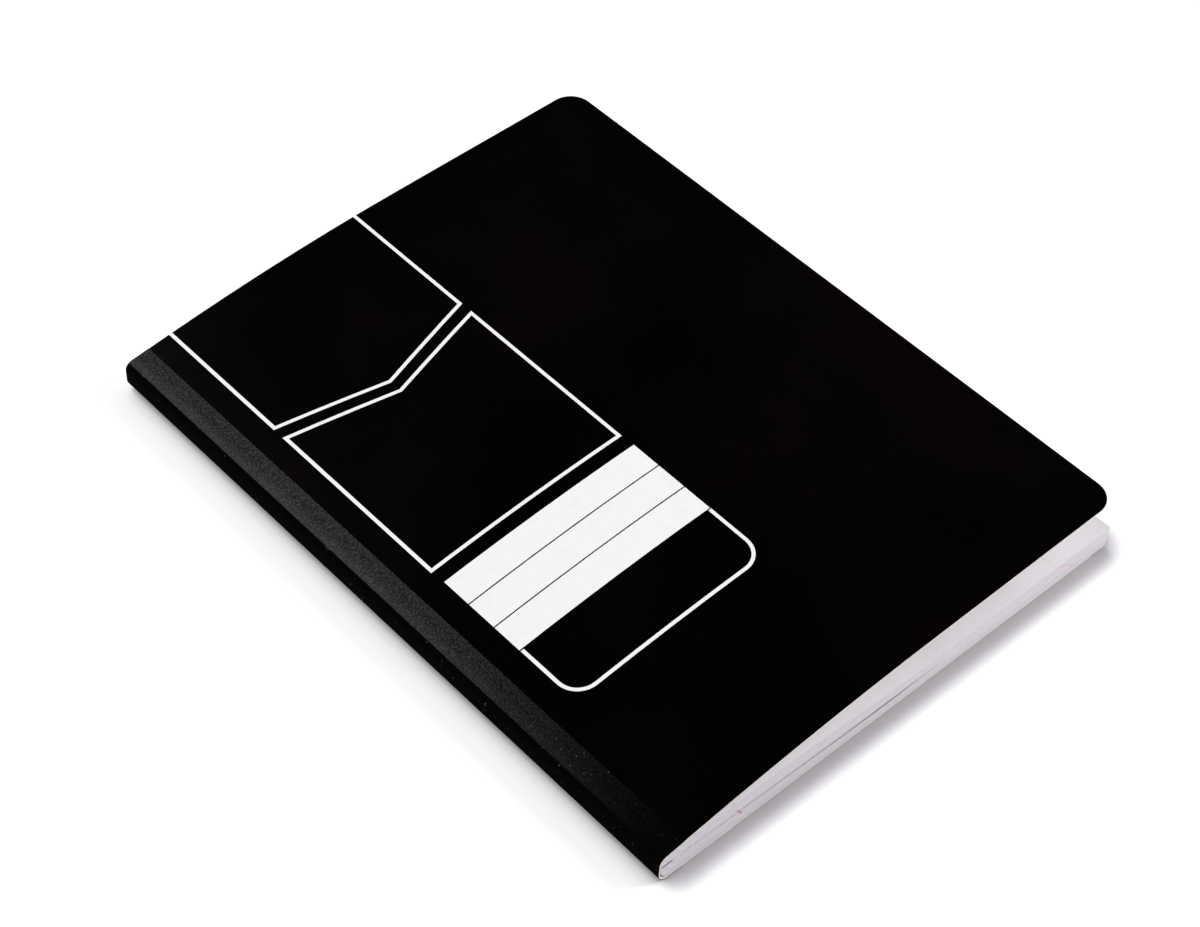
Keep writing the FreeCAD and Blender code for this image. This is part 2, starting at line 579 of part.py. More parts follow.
def make_page_block():
    """All sheets, folded one inside the other and trimmed square, as one solid.

    They are thickest beside the fold and thin out to the fore edge, and the two centre pages
    stand slightly apart behind the innermost fold.
    """
    body = new_body("page_block")
    sketch = new_sketch(body, "block_section", "XZ_Plane")
    width = value_of("dims.trim_width")
    side = value_of(BLOCK_SIDE)
    base = value_of(BLOCK_BOTTOM)
    heel_radius = value_of("dims.block_heel")
    heel = (side + heel_radius, base + heel_radius)
    shoulder = (value_of("dims.shoulder_radius"), value_of(SHOULDER_LEVEL))
    shoulder_radius = shoulder[0] - side
    crown = (value_of("dims.crown_place"), value_of("dims.crown_height"))
    flat = (value_of("dims.flat_place"), value_of("dims.fore_height"))
    middle = (value_of(CROWN_END), value_of(CROWN_END_LEVEL))
    across = crown[0] - shoulder[0]
    up = crown[1] - shoulder[1]
    first_radius = (across**2 + up**2 - shoulder_radius**2) / (2 * (up - shoulder_radius))
    first = (crown[0], crown[1] - first_radius)
    reach = math.dist(first, shoulder)
    turn = (
        shoulder[0] + (shoulder[0] - first[0]) / reach * shoulder_radius,
        shoulder[1] + (shoulder[1] - first[1]) / reach * shoulder_radius,
    )
    fall = (middle[0] - crown[0], crown[1] - middle[1])
    fall_radius = (fall[0] ** 2 + fall[1] ** 2) / (2 * fall[1])

    bottom = add_line(sketch, (width, base), (heel[0], base))
    heel_arc = add_arc(sketch, heel, (heel[0], base), (side, heel[1]), True)
    spine_side = add_line(sketch, (side, heel[1]), (side, shoulder[1]))
    shoulder_arc = add_arc(sketch, shoulder, (side, shoulder[1]), turn, True)
    rise = add_arc(sketch, first, turn, crown, True)
    fall_start = add_arc(sketch, (crown[0], crown[1] - fall_radius), crown, middle, True)
    fall_end = add_arc(sketch, (flat[0], flat[1] + fall_radius), middle, flat, False)
    level = add_line(sketch, flat, (width, flat[1]))
    fore_edge = add_line(sketch, (width, flat[1]), (width, base))
    chain = [bottom, heel_arc, spine_side, shoulder_arc, rise, fall_start, fall_end, level, fore_edge]
    join(sketch, chain, (0, 1, 2, 3, 4, 5, 6))
    for element in (bottom, level):
        relate(sketch, "Horizontal", element[0])
    for element in (spine_side, fore_edge):
        relate(sketch, "Vertical", element[0])
    relate(sketch, "Equal", fall_start[0], fall_end[0])
    place(sketch, "base", bottom, 1, "dims.trim_width", BLOCK_BOTTOM)
    place(sketch, "side", spine_side, 1, BLOCK_SIDE)
    place(sketch, "heel", heel_arc, 3, "%s + dims.block_heel" % BLOCK_SIDE)
    place(sketch, "shoulder", shoulder_arc, 3, "dims.shoulder_radius", SHOULDER_LEVEL)
    place(sketch, "rise_centre", rise, 3, "dims.crown_place")
    place(sketch, "crown", rise, rise[2], "dims.crown_place", "dims.crown_height")
    place(sketch, "flat", level, 1, "dims.flat_place", "dims.fore_height")
    pad_along_spine(body, sketch, "block")

    opening = new_sketch(body, "centre_opening", "XZ_Plane")
    root = value_of("dims.centre_root")
    half = value_of("dims.centre_width / 2")
    level_here = value_of("dims.centre_level")
    end = (value_of("dims.centre_end"), value_of("dims.centre_end_level"))
    end_half = value_of("dims.centre_end_width / 2")
    slope = math.atan2(end[1] - level_here, end[0] - root - half)
    taper = (half - end_half) / math.hypot(end[1] - level_here, end[0] - root - half)
    centre = (root + half, level_here)
    upper = (centre[0] - half * math.sin(slope - taper), centre[1] + half * math.cos(slope - taper))
    lower = (centre[0] + half * math.sin(slope + taper), centre[1] - half * math.cos(slope + taper))
    fold = add_arc(opening, centre, upper, lower, False)
    under = add_line(opening, lower, (end[0], end[1] - end_half))
    closing = add_line(opening, (end[0], end[1] - end_half), (end[0], end[1] + end_half))
    over = add_line(opening, (end[0], end[1] + end_half), upper)
    join(opening, [fold, under, closing, over], (0, 3))
    relate(opening, "Vertical", closing[0])
    measure(opening, "fold_radius", "Radius", (fold[0],), "dims.centre_width / 2")
    place(opening, "fold", fold, 3, "dims.centre_root + dims.centre_width / 2", "dims.centre_level")
    place(opening, "closing", closing, 1, "dims.centre_end", "dims.centre_end_level - dims.centre_end_width / 2")
    measure(opening, "closing_height", "Distance", (closing[0],), "dims.centre_end_width")
    pocket(body, opening, "centre_gap", "dims.trim_height")
    pierce_needle_holes(body, "dims.centre_root + dims.centre_width / 2")
    return body


def make_sewing_thread():
    """Thread that runs along the outside of the spine and the inside of the fold by turns.

    One pair of stitches is drawn, from the middle of an outside stitch to the middle of the next,
    and repeated along the spine.
    """
    body = new_body("sewing_thread")
    path = new_sketch(body, "stitch_path", "XY_Plane", "dims.centre_level")
    out = value_of(THREAD_OUTSIDE)
    back = value_of(THREAD_INSIDE)
    start = value_of("dims.stitch_margin")
    pitch = value_of(STITCH_PITCH)
    first = start + pitch / 2
    second = first + pitch
    finish = second + pitch / 2
    corners = [(out, start), (out, first), (back, first), (back, second), (out, second), (out, finish)]
    chain = [add_line(path, here, there) for here, there in zip(corners, corners[1:])]
    join(path, chain, (), closed=False)
    for index in (0, 2, 4):
        relate(path, "Vertical", chain[index][0])
    for index in (1, 3):
        relate(path, "Horizontal", chain[index][0])
    place(path, "start", chain[0], 1, THREAD_OUTSIDE, "dims.stitch_margin")
    place(path, "first", chain[1], 2, THREAD_INSIDE, "dims.stitch_margin + %s / 2" % STITCH_PITCH)
    place(path, "second", chain[3], 2, THREAD_OUTSIDE, "dims.stitch_margin + 3 * %s / 2" % STITCH_PITCH)
    place(path, "finish", chain[4], 2, None, "dims.stitch_margin + 2 * %s" % STITCH_PITCH)

    section = new_sketch(body, "thread_section", "XZ_Plane", "-dims.stitch_margin")
    circle = Part.Circle(
        Vector(out, value_of("dims.centre_level"), 0), Vector(0, 0, 1), value_of("dims.thread_size / 2")
    )
    thread = (section.addGeometry(circle, False),)
    measure(section, "thread", "Diameter", thread, "dims.thread_size")
    place(section, "thread", thread, 3, THREAD_OUTSIDE, "dims.centre_level")
    doc.recompute()

    stitch = body.newObject("PartDesign::AdditivePipe", "stitch")
    stitch.Profile = section
    stitch.Spine = (path, ["Edge%d" % (index + 1) for index in range(len(chain))])
    stitch.Transition = "Right corner"
    doc.recompute()
    row = body.newObject("PartDesign::LinearPattern", "stitches")
    row.Originals = [stitch]
    row.Direction = (origin_feature(body, "Y_Axis"), [""])
    row.setExpression("Occurrences", "dims.stitch_pairs")
    row.setExpression("Length", "%s - 2 * %s" % (STITCH_SPAN, STITCH_PITCH))
    body.Tip = row
    return body


def check(pieces):
    """Stops if an object failed or a piece is not one sound solid."""
    for item in doc.Objects:
        if "Invalid" in item.State or "Error" in item.State:
            raise RuntimeError("%s failed: %s" % (item.Name, item.State))
    for piece in pieces:
        shape = piece.Shape
        if shape.isNull() or not shape.isValid() or len(shape.Solids) != 1:
            raise RuntimeError("%s is not one valid solid" % piece.Label)


pieces = [
    make_page_block(),
    make_sewing_thread(),
    make_cover_spine(),
    make_spine_tape(),
    make_front_cover(),
    make_back_cover(),
]
label_layer = make_label_layer()
pieces += [
    make_ink("label_top_frame", draw_top_frame, label_layer),
    make_ink("label_middle_frame", draw_middle_frame, label_layer),
    make_ink("label_foot_frame", draw_foot_frame, label_layer),
    make_ink("label_low_strip", draw_strip, label_layer, 0),
    make_ink("label_centre_strip", draw_strip, label_layer, 1),
    make_ink("label_high_strip", draw_strip, label_layer, 2),
]
doc.recompute()
check(pieces)
os.makedirs("parts", exist_ok=True)
for piece in pieces:
    piece.Shape.exportStep("parts/%s.step" % piece.Label)
    box = piece.Shape.BoundBox
    print(
        "%-19s %9.1f mm3, x %.2f to %.2f, y %.2f to %.2f, z %.2f to %.2f"
        % (piece.Label, piece.Shape.Volume, box.XMin, box.XMax, box.YMin, box.YMax, box.ZMin, box.ZMax)
    )
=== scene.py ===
import json
import math

import bmesh
import bpy
from mathutils import Matrix, Vector

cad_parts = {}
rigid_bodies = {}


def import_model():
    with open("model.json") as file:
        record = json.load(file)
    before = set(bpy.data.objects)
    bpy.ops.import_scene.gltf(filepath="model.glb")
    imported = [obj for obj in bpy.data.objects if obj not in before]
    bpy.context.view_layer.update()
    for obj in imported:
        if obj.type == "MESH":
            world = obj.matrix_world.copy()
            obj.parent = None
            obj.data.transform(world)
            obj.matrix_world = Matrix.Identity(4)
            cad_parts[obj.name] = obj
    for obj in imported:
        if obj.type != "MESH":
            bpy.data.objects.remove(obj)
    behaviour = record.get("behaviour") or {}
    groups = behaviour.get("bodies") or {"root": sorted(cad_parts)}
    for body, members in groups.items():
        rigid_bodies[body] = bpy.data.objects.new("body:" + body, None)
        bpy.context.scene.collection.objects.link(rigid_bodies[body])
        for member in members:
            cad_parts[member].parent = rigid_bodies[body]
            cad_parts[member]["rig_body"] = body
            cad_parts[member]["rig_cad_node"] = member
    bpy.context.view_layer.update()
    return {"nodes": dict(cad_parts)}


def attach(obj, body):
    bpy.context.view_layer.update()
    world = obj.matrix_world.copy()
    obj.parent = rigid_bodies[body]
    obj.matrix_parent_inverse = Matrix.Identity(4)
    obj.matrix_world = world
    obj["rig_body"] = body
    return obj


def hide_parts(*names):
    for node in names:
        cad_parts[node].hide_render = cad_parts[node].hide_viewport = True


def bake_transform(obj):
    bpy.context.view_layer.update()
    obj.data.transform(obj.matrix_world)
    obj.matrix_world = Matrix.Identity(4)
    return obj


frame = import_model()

# Sizes are in millimetres, from the outside of the spine and from the tail.
book = {
    "width": 190.5,
    "height": 247.65,
    "foldLevel": 7.0,
    "coverSmooth": 20,  # degrees; only sharper edges stay hard
    "flat": 0.1,  # degrees; faces that differ by less are one face
    "weld": 0.001,  # points that are nearer than this are one point
    "onLine": 0.01,  # how near to a line a point has to be to lie on it
}


def atX(x):
    return (x - book["width"] / 2) / 1000


def atY(y):
    return (y - book["height"] / 2) / 1000


def pick(piece):
    bpy.ops.object.select_all(action="DESELECT")
    piece.select_set(True)
    bpy.context.view_layer.objects.active = piece


def openMesh(piece, kind="VERT", action="DESELECT"):
    # into edit mode, with nothing or everything selected
    pick(piece)
    bpy.ops.object.mode_set(mode="EDIT")
    bpy.ops.mesh.select_mode(type=kind)
    bpy.ops.mesh.select_all(action=action)


def closeMesh():
    bpy.ops.object.mode_set(mode="OBJECT")


def choose(piece, kind, test):
    # selects the vertices, or the edges, whose middle passes the test
    mesh = bmesh.from_edit_mesh(piece.data)
    mesh.select_mode = {kind}
    if kind == "VERT":
        for vertex in mesh.verts:
            vertex.select_set(test(vertex.co))
    else:
        for edge in mesh.edges:
            edge.select_set(test((edge.verts[0].co + edge.verts[1].co) / 2))
    mesh.select_flush_mode()
    bmesh.update_edit_mesh(piece.data)


def cut(piece, place, across, keep="both"):
    # one bisect through the whole mesh; keep says which side stays, and if the cut is capped
    openMesh(piece, action="SELECT")
    bpy.ops.mesh.bisect(
        plane_co=place,
        plane_no=across,
        use_fill=keep.endswith("capped"),
        clear_outer=keep.startswith("below"),
        clear_inner=keep.startswith("above"),
    )
    closeMesh()


def applyModifier(piece, kind, **settings):
    pick(piece)
    modifier = piece.modifiers.new(kind.lower(), kind)
    for name, value in settings.items():
        setattr(modifier, name, value)
    bpy.ops.object.modifier_apply(modifier=modifier.name)


def smooth(piece, degrees):
    pick(piece)
    bpy.ops.object.shade_smooth_by_angle(angle=math.radians(degrees))


def dress(piece, material):
    piece.data.materials.clear()
    piece.data.materials.append(material)


def copyOfNode(nodeName, name):
    # the node's own triangles, merged into one clean mesh
    pick(frame["nodes"][nodeName])
    bpy.ops.object.duplicate()
    piece = bpy.context.object
    bpy.ops.object.parent_clear(type="CLEAR")
    piece.name = name
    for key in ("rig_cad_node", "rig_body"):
        del piece[key]
    bpy.ops.mesh.customdata_custom_splitnormals_clear()
    openMesh(piece, action="SELECT")
    bpy.ops.mesh.remove_doubles(threshold=book["weld"] / 1000)
    bpy.ops.mesh.dissolve_limited(angle_limit=math.radians(book["flat"]))
    closeMesh()
    return piece


def rectangle(name, left, low, right, high, level):
    centre = (atX((left + right) / 2), atY((low + high) / 2), level / 1000)
    bpy.ops.mesh.primitive_plane_add(size=1, location=centre)
    piece = bpy.context.object
    piece.name = name
    piece.scale = ((right - left) / 1000, (high - low) / 1000, 1)
    bpy.ops.object.transform_apply(location=True, rotation=True, scale=True)
    return piece


class Value:
    # a socket that can be used in arithmetic
    def __init__(self, recipe, socket):
        self.recipe = recipe
        self.socket = socket

    def __add__(self, other):
        return self.recipe.maths("ADD", self, other)

    def __sub__(self, other):
        return self.recipe.maths("SUBTRACT", self, other)

    def __rsub__(self, other):
        return self.recipe.maths("SUBTRACT", other, self)

    def __mul__(self, other):
        return self.recipe.maths("MULTIPLY", self, other)

    def __truediv__(self, other):
        return self.recipe.maths("DIVIDE", self, other)

    def __abs__(self):
        return self.recipe.maths("ABSOLUTE", self)

    __radd__ = __add__
    __rmul__ = __mul__

    def least(self, other):
        return self.recipe.maths("MINIMUM", self, other)

    def most(self, other):
        return self.recipe.maths("MAXIMUM", self, other)

    def root(self):
        return self.recipe.maths("SQRT", self)

    def over(self, limit, soft):
        # 0 below the limit, 1 above it, with a soft step
        return self.recipe.node(
            "ShaderNodeMapRange",
            {"interpolation_type": "SMOOTHSTEP"},
            {"Value": self, "From Min": limit - soft, "From Max": limit + soft},
        )

    def band(self, middle, half, soft):
        # 1 inside a band around the middle
        return 1 - abs(self - middle).over(half, soft)


class Recipe:
    # the nodes of a material or of the world, and the methods that add to them
    def __init__(self, owner):
        self.owner = owner
        self.owner.use_nodes = True
        self.tree = owner.node_tree
        self.coordinates = self.tree.nodes.new("ShaderNodeTexCoord")

    def plug(self, socket, value):
        if isinstance(value, Value):
            self.tree.links.new(value.socket, socket)
        elif value is not None:
            socket.default_value = value

    def node(self, kind, settings, values, output=0):
        node = self.tree.nodes.new(kind)
        for name, setting in settings.items():
            if name == "stops":
                ramp = node.color_ramp
                while len(ramp.elements) < len(setting):
                    ramp.elements.new(0.5)
                for element, (position, level) in zip(ramp.elements, setting):
                    element.position = position
                    element.color = (level, level, level, 1)
            elif name == "points":
                curve = node.mapping.curves[0]
                while len(curve.points) < len(setting):
                    curve.points.new(0.5, 0.5)
                for point, place in zip(curve.points, setting):
                    point.location = place
                node.mapping.update()
            else:
                setattr(node, name, setting)
        for name, value in values.items():
            self.plug(node.inputs[name], value)
        return Value(self, node.outputs[output])

    def maths(self, operation, *values):
        return self.node("ShaderNodeMath", {"operation": operation}, dict(enumerate(values)))

    def vector(self, name):
        return Value(self, self.coordinates.outputs[name])

    def parts(self, name):
        # the three numbers of a vector
        values = {0: self.vector(name)}
        return [self.node("ShaderNodeSeparateXYZ", {}, values, axis) for axis in range(3)]

    def trimmed(self):
        # 1 on the faces that the trimming knife left: head, tail and fore edge
        nx, ny, _ = self.parts("Normal")
        return abs(ny).most(nx).over(0.5, 0.05)

    def stretched(self, scale=(1, 1, 1)):
        # object coordinates drawn out by a factor on each axis
        values = {"Vector": self.vector("Object"), "Scale": scale}
        return self.node("ShaderNodeMapping", {}, values)

    def noise(self, vector, scale, detail=3, roughness=0.55):
        values = {"Vector": vector, "Scale": scale, "Detail": detail, "Roughness": roughness}
        return self.node("ShaderNodeTexNoise", {"normalize": True}, values)

    def blend(self, factor, first, second):
        # one colour over another
        values = {0: factor, 6: first, 7: second}
        return self.node("ShaderNodeMix", {"data_type": "RGBA"}, values, 2)

    def bump(self, height, distance, strength):
        values = {"Height": height, "Distance": distance / 1000, "Strength": strength}
        return self.node("ShaderNodeBump", {}, values)

    def finish(self, colour, rough, normal=None, **fixed):
        inputs = self.tree.nodes["Principled BSDF"].inputs
        values = {"Base Color": colour, "Roughness": rough, "Normal": normal, **fixed}
        for name, value in values.items():
            self.plug(inputs[name.replace("_", " ")], value)
        return self.owner


def newRecipe(name):
    return Recipe(bpy.data.materials.new(name))


def rgb(red, green, blue):
    return (red, green, blue, 1)


# Camera, at the place it was solved to stand for the photograph
view = {
    "place": (-0.40922, -0.401985, 0.62935),
    "right": (0.7378, -0.6735, 0.0452),
    "up": (0.4760, 0.5665, 0.6727),
    "lens": 81.13,
    "sensor": 36,
    "nearest": 0.01,
}


def makeCamera():
    right = Vector(view["right"]).normalized()
    up = Vector(view["up"])
    back = right.cross(up).normalized()
    up = back.cross(right)
    turn = Matrix((right, up, back)).transposed().to_4x4()
    bpy.ops.object.camera_add()
    camera = bpy.context.object
    camera.name = "camera"
    camera.matrix_world = Matrix.Translation(view["place"]) @ turn
    camera.data.lens = view["lens"]
    camera.data.sensor_width = view["sensor"]
    camera.data.sensor_fit = "HORIZONTAL"
    camera.data.clip_start = view["nearest"]
    bpy.context.scene.camera = camera


makeCamera()
print("camera placed")


# Cover card: black print under a thin film outside, bare board inside, pale core at the cut edges
card = {
    "print": rgb(0.0006, 0.0005, 0.0005),
    "printWarm": rgb(0.0020, 0.0009, 0.0010),
    "board": rgb(0.80, 0.785, 0.77),
    "boardFleck": rgb(0.60, 0.57, 0.52),
    "core": rgb(0.80, 0.76, 0.71),
    "coreDark": rgb(0.62, 0.56, 0.49),
    "printRough": 0.22,
    "printUneven": 0.06,
    "boardRough": 0.82,
    "shine": 0.035,
    "cloudScale": 16,
    "fibreScale": 2600,
    "fleckScale": 1700,
    "layerScale": 500,
    "peelScale": 900,
    "peel": 0.25,  # the film's waves, against the relief of the board's fibres
    "relief": 0.03,
    "edgeWidth": 0.07,
    "edgeAngle": 50,
}


def makeCardMaterial():
    recipe = newRecipe("cover_card")
    x, _, z = recipe.parts("Object")
    nx, _, nz = recipe.parts("Normal")
    cutEdge = recipe.trimmed()
    outward = (nx * x + nz * (z - book["foldLevel"] / 1000)).over(0, 0.0004)
    spot = recipe.stretched()
    cloud = recipe.noise(spot, card["cloudScale"], 4)
    fibre = recipe.noise(recipe.stretched((1, 0.35, 1)), card["fibreScale"], 5, 0.7)
    peel = recipe.noise(spot, card["peelScale"], 2)
    fleck = recipe.noise(spot, card["fleckScale"], 2).over(0.67, 0.05)
    printed = recipe.blend(cloud.over(0.55, 0.2), card["print"], card["printWarm"])
    board = recipe.blend(fleck, card["board"], card["boardFleck"])
    layers = recipe.noise(recipe.stretched((1, 1, 12)), card["layerScale"], 3)
    core = recipe.blend(layers.over(0.55, 0.15), card["core"], card["coreDark"])
    colour = recipe.blend(cutEdge, recipe.blend(outward, board, printed), core)
    shiny = outward * (1 - cutEdge)
    smoother = card["boardRough"] - card["printRough"] - card["printUneven"] * cloud
    height = fibre * (1 - shiny) + peel * shiny * card["peel"]
    normal = recipe.bump(height, card["relief"], 0.6)
    rough = card["boardRough"] - shiny * smoother
    return recipe.finish(colour, rough, normal, Specular_IOR_Level=card["shine"])


cardMaterial = makeCardMaterial()


def makeFrontCard():
    panel = copyOfNode("front_cover", "front_cover_card")
    applyModifier(
        panel, "BEVEL", width=card["edgeWidth"] / 1000, segments=2,
        limit_method="ANGLE", angle_limit=math.radians(card["edgeAngle"])
    )
    smooth(panel, book["coverSmooth"])
    dress(panel, cardMaterial)
    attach(panel, "front_cover")
    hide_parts("front_cover")
    return panel


frontCard = makeFrontCard()
dress(frame["nodes"]["back_cover"], cardMaterial)
dress(frame["nodes"]["cover_spine"], cardMaterial)
print("cover card made")


# Label: white ink in an empty frame of lines, and a white panel with two fine rules left open
label = {
    "line": 1.2,
    "left": 17.25,
    "right": 93.75,
    "top": {"side": 193.3, "point": 182.58, "past": 10, "fromHead": 0.08},
    "middle": {"side": 188.97, "point": 178.67, "low": 117.65},
    "panel": {
        "left": 17.95, "right": 94.03, "high": 112.5, "low": 78.8,
        "rules": (101.34, 89.96), "rule": 0.45,
    },
    "foot": {"left": 18.0, "right": 94.17, "high": 78.3, "low": 54.32, "corner": 8.3},
    "film": 0.03,
    "above": 40,
    "ink": rgb(0.90, 0.89, 0.905),
    "inkThin": rgb(0.80, 0.79, 0.81),
    "inkRough": 0.42,
    "inkUneven": 0.12,
    "shine": 0.3,
    "mottleScale": 420,
    "speckScale": 3200,
    "waveScale": 900,
    "relief": 0.01,
}


def makeInkMaterial():
    recipe = newRecipe("white_ink")
    spot = recipe.stretched()
    mottle = recipe.noise(spot, label["mottleScale"], 4)
    speck = recipe.noise(spot, label["speckScale"], 2).over(0.68, 0.05)
    thin = mottle.over(0.6, 0.2) * 0.35 + speck * 0.25
    colour = recipe.blend(thin, label["ink"], label["inkThin"])
    rough = label["inkRough"] + label["inkUneven"] * mottle
    normal = recipe.bump(recipe.noise(spot, label["waveScale"], 2), label["relief"], 0.5)
    return recipe.finish(colour, rough, normal, Specular_IOR_Level=label["shine"])


def onHeight(spot, height):
    return abs(spot.y - atY(height)) < book["onLine"] / 1000


def bendEdge(piece, side, point):
    # a middle vertex on the edge at one height, moved to another
    openMesh(piece)
    choose(piece, "EDGE", lambda middle: onHeight(middle, side))
    bpy.ops.mesh.subdivide(number_cuts=1)
    middleX = atX((label["left"] + label["right"]) / 2)
    choose(piece, "VERT", lambda spot: onHeight(spot, side) and abs(spot.x - middleX) < 0.001)
    bpy.ops.transform.translate(value=(0, (point - side) / 1000, 0))
    closeMesh()


def hollow(piece):
    # leaves only a line of even width inside the outline
    openMesh(piece, "FACE", "SELECT")
    bpy.ops.mesh.inset(thickness=label["line"] / 1000, depth=0)
    bpy.ops.mesh.delete(type="FACE")
    closeMesh()


def topFrame():
    sizes = label["top"]
    beyond = book["height"] + sizes["past"]
    outline = rectangle(
        "label_top", label["left"], sizes["side"], label["right"], beyond, label["above"]
    )
    bendEdge(outline, sizes["side"], sizes["point"])
    hollow(outline)
    cut(outline, (0, atY(book["height"] - sizes["fromHead"]), 0), (0, 1, 0), "below")
    return outline


def middleFrame():
    sizes = label["middle"]
    outline = rectangle(
        "label_middle", label["left"], sizes["low"], label["right"], sizes["side"], label["above"]
    )
    bendEdge(outline, sizes["side"], sizes["point"])
    hollow(outline)
    return outline


def footFrame():
    sizes = label["foot"]
    inPanel = label["panel"]["high"]
    outline = rectangle(
        "label_foot", sizes["left"], sizes["low"], sizes["right"], inPanel, label["above"]
    )
    openMesh(outline)
    choose(outline, "VERT", lambda spot: onHeight(spot, sizes["low"]))
    bpy.ops.mesh.bevel(offset=sizes["corner"] / 1000, segments=9, affect="VERTICES")
    closeMesh()
    hollow(outline)
    cut(outline, (0, atY(sizes["high"]), 0), (0, 1, 0), "below")
    return outline


def panelStrips():
    sizes = label["panel"]
    levels = [sizes["high"]]
    for rule in sizes["rules"]:
        levels += [rule + sizes["rule"] / 2, rule - sizes["rule"] / 2]
    levels.append(sizes["low"])
    return [
        rectangle("label_panel", sizes["left"], low, sizes["right"], high, label["above"])
        for high, low in zip(levels[::2], levels[1::2])
    ]


def makeLabel():
    parts = [topFrame(), middleFrame(), footFrame(), *panelStrips()]
    pick(parts[0])
    for part in parts:
        part.select_set(True)
    bpy.ops.object.join()
    ink = bpy.context.object
    ink.name = "label_print"
    # cut where the card's own faces meet, so that the ink lies flat on each
    for column in sorted({round(vertex.co.x, 5) for vertex in frontCard.data.vertices}):
        if atX(label["left"]) < column < atX(label["foot"]["right"]):
            cut(ink, (column, 0, 0), (1, 0, 0))
    openMesh(ink, action="SELECT")
    bpy.ops.mesh.normals_make_consistent(inside=False)
    closeMesh()
    applyModifier(
        ink, "SHRINKWRAP", target=frontCard, wrap_method="PROJECT", use_project_z=True,
        use_negative_direction=True, use_positive_direction=False
    )
    applyModifier(ink, "SOLIDIFY", thickness=label["film"] / 1000, offset=1)
    smooth(ink, book["coverSmooth"])
    dress(ink, makeInkMaterial())
    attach(ink, "front_cover")
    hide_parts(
        "label_top_frame", "label_middle_frame", "label_foot_frame",
        "label_high_strip", "label_centre_strip", "label_low_strip"
    )


makeLabel()
print("label printed")


# Spine tape: black embossed cloth, cut in two halves at a height, with extra cuts across near the
# spine
tape = {
    "split": 6.2,
    "frontBend": (1.4, 4.8),
    "backBend": (1.8, 6.4),
    "bendStep": 0.3,
    "smooth": 40,
    "shoulder": 4.0,
    "shoulderSoft": 1.5,
    "sheenFlatFrom": (0.85, 0.025),  # by how far its face points up
    "sheenFadeAt": 37,  # towards the tail, from the middle of the spine
    "sheenFadeUneven": 30,
    "sheenFadeSoft": 80,
    "cloth": rgb(0.0008, 0.0008, 0.0009),
    "clothRaised": rgb(0.0020, 0.0020, 0.0021),
    # the painted sheen's grey, lighter on the worn raised grain
    "scuffSheenLow": rgb(0.011, 0.011, 0.0115),
    "scuffSheenHigh": rgb(0.062, 0.062, 0.064),
    "lint": rgb(0.10, 0.10, 0.105),
    "rough": 0.5,
    "roughDip": 0.3,
    "shine": 0.003,
    "pebbleScale": 1900,
    "weaveScale": 2600,
    "wearAndSheenScale": 60,
    "lintScale": 900,
    "relief": 0.04,
}


def makeTapeMaterial():
    recipe = newRecipe("tape_cloth")
    spot = recipe.stretched()
    x, y, _ = recipe.parts("Object")
    _, _, nz = recipe.parts("Normal")
    pebble = recipe.noise(spot, tape["pebbleScale"], 3, 0.6)
    weave = recipe.noise(recipe.stretched((1, 2.2, 1)), tape["weaveScale"], 2)
    relief = pebble * 0.6 + weave * 0.4
    raised = relief.over(0.53, 0.08)
    wearAndSheenNoise = recipe.noise(recipe.stretched((1, 0.4, 1)), tape["wearAndSheenScale"], 4)
    # painted sheen: grey where the face points up, less towards the tail, over worn raised grain
    sheenFade = (y * 1000 + tape["sheenFadeAt"] + tape["sheenFadeUneven"] * wearAndSheenNoise).over(0, tape["sheenFadeSoft"])
    paintedSheen = nz.over(*tape["sheenFlatFrom"]) * sheenFade
    # painted highlight: lighter along the shoulder of the spine
    fromShoulder = (x - atX(tape["shoulder"])) * 1000
    shoulder = 1 - fromShoulder.over(0, tape["shoulderSoft"])
    scuffAndSheen = (raised * (0.55 + 0.6 * wearAndSheenNoise) + 0.25 * shoulder).least(1)
    cloth = recipe.blend(raised, tape["cloth"], tape["clothRaised"])
    sheenGrey = recipe.blend(scuffAndSheen, tape["scuffSheenLow"], tape["scuffSheenHigh"])
    lint = recipe.noise(spot, tape["lintScale"], 1).over(0.76, 0.02)
    colour = recipe.blend(lint * 0.5, recipe.blend(paintedSheen, cloth, sheenGrey), tape["lint"])
    rough = tape["rough"] + tape["roughDip"] * (1 - raised)
    normal = recipe.bump(relief, tape["relief"], 0.8)
    return recipe.finish(colour, rough, normal, Specular_IOR_Level=tape["shine"])


tapeMaterial = makeTapeMaterial()


def makeTapeHalf(name, side, bend):
    half = copyOfNode("spine_tape", name)
    cut(half, (0, 0, tape["split"] / 1000), (0, 0, 1), side)
    steps = round((bend[1] - bend[0]) / tape["bendStep"])
    for index in range(steps + 1):
        cut(half, (atX(bend[0] + index * tape["bendStep"]), 0, 0), (1, 0, 0))
    smooth(half, tape["smooth"])
    dress(half, tapeMaterial)
    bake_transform(half)
    return half


tapeFront = makeTapeHalf("tape_front_half", "above and capped", tape["frontBend"])
makeTapeHalf("tape_back_half", "below and capped", tape["backBend"])
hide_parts("spine_tape")
print("tape made")


